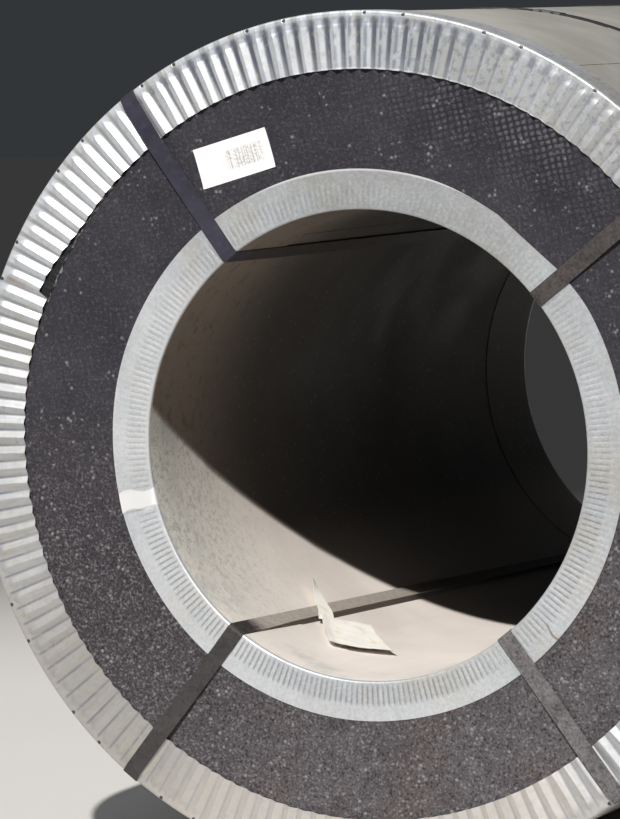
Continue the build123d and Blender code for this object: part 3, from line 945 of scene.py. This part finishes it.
def lower_lap():
    """The end of the outer ring's strip that lies under its lap: a crumpled edge on the disc, painted dark
    as shade.
    """
    stretch = np.linspace(lap_end + 0.6, lower_lap_end, 230)
    angle, out = np.meshgrid(stretch, np.linspace(0, 1, 7), indexing="ij")
    run = np.clip((angle - (lap_end - lap_run)) / lap_run, 0, 1)
    outer = outer_edge_radius + lap_step * smooth_step(0, 1, run) + 0.3 * MM
    waves = np.sin(np.radians(angle * pleat_count))
    inner = outer_edge_radius - 2.5 * MM + 1.1 * MM * waves * smooth_step(134, 143, angle)
    inner += 0.7 * MM * np.sin(np.radians(angle * 61))
    radius = inner + (outer - inner) * out
    ripple = 0.35 * MM * (1 + waves) + 0.15 * MM * np.sin(np.radians(angle * 470))
    free = smooth_step(0.8, 0.4, out)
    turn = np.radians(angle)
    layers = []
    for lift in (0.45 * MM, 0.1 * MM):
        place = disc_face + lift + ripple * free
        layers.append(np.stack([radius * np.cos(turn), -place, radius * np.sin(turn)], -1))
    return thin_sheet("ring_lower_lap", *layers)


# Materials of the pieces
outer_zinc = pleated_zinc()
inner_zinc = ribbed_zinc()
dark_paint = colour(0.028, 0.026, 0.03)
blue_paint = colour(0.031, 0.03, 0.046)
grey_paint = colour(0.04, 0.038, 0.043)

# Finish of each eye strap: share of dust, then tints of the paint, the dust and the film in the bore
band_finish = {
    1: (0.75, dark_paint, colour(0.097, 0.08, 0.07), colour(0.07, 0.05, 0.042)),
    # Strap 2's film in the bore is dark as painted shade
    2: (0.06, blue_paint, colour(0.12, 0.1, 0.1), colour(0.04, 0.03, 0.026)),
    3: (0.7, dark_paint, colour(0.056, 0.049, 0.042), colour(0.43, 0.385, 0.34)),
    4: (0.85, grey_paint, colour(0.21, 0.195, 0.2), colour(0.16, 0.135, 0.11)),
}
band_paint = {number: strap_paint(f"band_paint_{number}", *parts) for number, parts in band_finish.items()}
cad_finish = {
    "steel_roll": roll_material(),
    "outer_wrap": wrap_material(),
    "bore_liner": liner_material(),
    "end_disc_near": woven_plastic(),
}
cad_finish["end_disc_far"] = cad_finish["end_disc_near"]
hoop_paint = strap_paint("hoop_paint", 0.2, dark_paint, colour(0.15, 0.13, 0.12))
seal_paint = strap_paint("seal_paint", 0.15, colour(0.1, 0.1, 0.11), colour(0.2, 0.17, 0.15))
for number in (1, 2):
    cad_finish[f"hoop_strap_{number}"] = hoop_paint
    cad_finish[f"hoop_seal_{number}"] = seal_paint
for number in strap_angles:
    cad_finish[f"eye_seal_{number}"] = seal_paint
for node, material in cad_finish.items():
    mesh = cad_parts[node].data
    mesh.materials.clear()
    mesh.materials.append(material)

# Rings
for end, side in (("near", -1), ("far", 1)):
    pleats = pleated_ring(f"pleated_ring_{end}", side, end == "near")
    finish_piece(pleats, outer_zinc, "ring_sheet", f"outer_ring_{end}")
    ribs = ribbed_ring(f"ribbed_ring_{end}", side)
    finish_piece(ribs, inner_zinc, "ring_sheet", f"inner_ring_{end}")

# Straps
for number in strap_angles:
    finish_piece(strap_band(number), band_paint[number], "strap_steel", f"eye_strap_{number}")

# The lower end of the outer ring's strip, under its lap
finish_piece(lower_lap(), lap_zinc_painted_shade(), "ring_sheet", "outer_ring_near")

# Scrap of paper on the bottom of the bore
paper = scrap_material()
finish_piece(bore_sheet("paper_tag", scrap_corners, (25, 21), scrap_lift), paper, "label_paper")
finish_piece(bore_sheet("paper_tag_strip", strip_corners, (19, 7), strip_lift), paper, "label_paper")

# Label
label_low, label_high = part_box("paper_label")
label_centre = ((label_low.x + label_high.x) / 2, (label_low.z + label_high.z) / 2)
finish_piece(label_sheet(label_centre), label_material(label_centre), "label_paper", "paper_label")

# Floor
floor_reach, floor_level = 30.0, cad_box[0].z
floor_signs = ((-1, -1), (1, -1), (1, 1), (-1, 1))
floor_corners = [(x * floor_reach, y * floor_reach, floor_level) for x, y in floor_signs]
floor_mesh = bpy.data.meshes.new("floor")
floor_mesh.from_pydata(floor_corners, [], [(0, 1, 2, 3)])
floor_mesh.materials.append(floor_material())
floor = add_object("floor", floor_mesh)

# Camera, as it stood for the photograph
camera_data = bpy.data.cameras.new("camera")
camera_data.sensor_width = 36
camera_data.lens = 219.8
camera_data.clip_start, camera_data.clip_end = 0.1, 100
camera = add_object("camera", camera_data)
camera_place = Matrix.Translation((2.0426, -5.4674, 0.4385))
right = Vector((0.91910, 0.39273, -0.03206)).normalized()
forward = Vector((-0.39404, 0.91605, -0.07479)).normalized()
camera.matrix_world = camera_place @ Matrix((right, right.cross(forward), -forward)).transposed().to_4x4()
bpy.context.scene.camera = camera

# Key light from above in front, a touch to the right, and a broad soft one over the object
key_light, _ = add_lamp("key", "SUN", 4.4, (1.0, 0.97, 0.93), Vector((-0.156, 0.972, -0.988)))
key_light.angle = math.radians(1.2)
overhead_place = Vector((-1.5, -3.0, 4.5))
overhead_aim = Vector((0, -0.4, 0)) - overhead_place
overhead_light, overhead_lamp = add_lamp("overhead", "AREA", 60, (0.86, 0.93, 1.0), overhead_aim)
overhead_light.size = 3.5
overhead_lamp.location = overhead_place

world = bpy.data.worlds.new("studio")
world.use_nodes = True
world.node_tree.nodes["Background"].inputs["Color"].default_value = (0.82, 0.9, 1.0, 1)
world.node_tree.nodes["Background"].inputs["Strength"].default_value = 0.04
bpy.context.scene.world = world
bpy.context.scene.view_settings.view_transform = "Standard"
